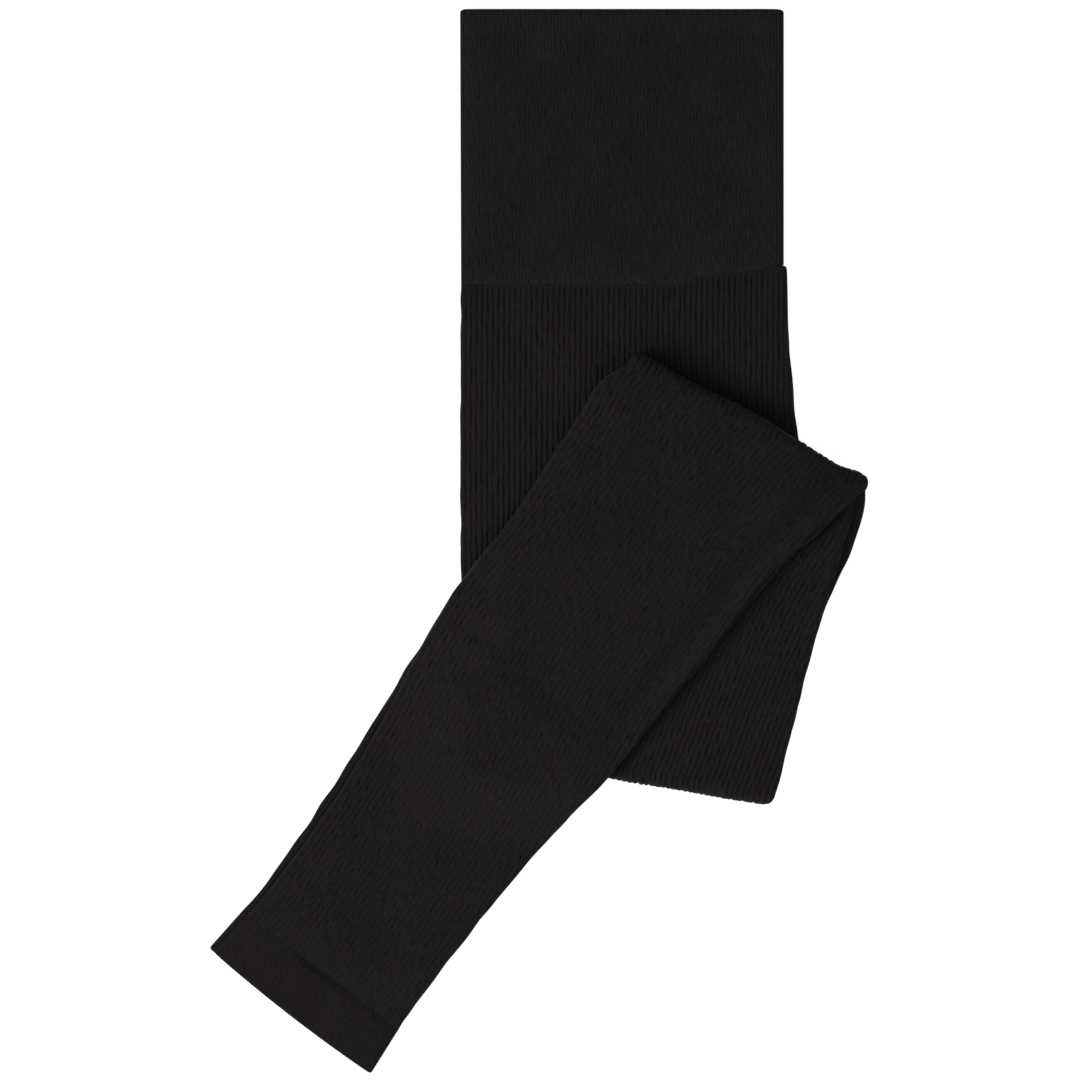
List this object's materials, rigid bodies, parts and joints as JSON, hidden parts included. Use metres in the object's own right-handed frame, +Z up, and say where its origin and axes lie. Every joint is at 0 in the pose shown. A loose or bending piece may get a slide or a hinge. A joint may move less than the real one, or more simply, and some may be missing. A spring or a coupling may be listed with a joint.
{
  "type": "leggings",
  "caption": "Black ribbed leggings with a wide waistband, folded lengthwise and in a Z, lying flat.",
  "frame": {"origin": "middle of the folded garment's outline from above, on the surface it lies on", "axes": "+Y from the ankles' end towards the waistband, along the hips' ribs; +X to the right seen from above with the waistband up; +Z up from the surface"},
  "size_m": [0.3262, 0.5314, 0.0203],
  "materials": {
    "band_knit": "matt, fine rib",
    "rib_knit": "matt, strong rib",
    "hem_knit": "matt, smooth knit"
  },
  "bodies": {
    "root": {"waistband": "band_knit", "leg_left": "rib_knit", "leg_right": "rib_knit", "hem_left": "hem_knit", "hem_right": "hem_knit"}
  },
  "joints": []
}
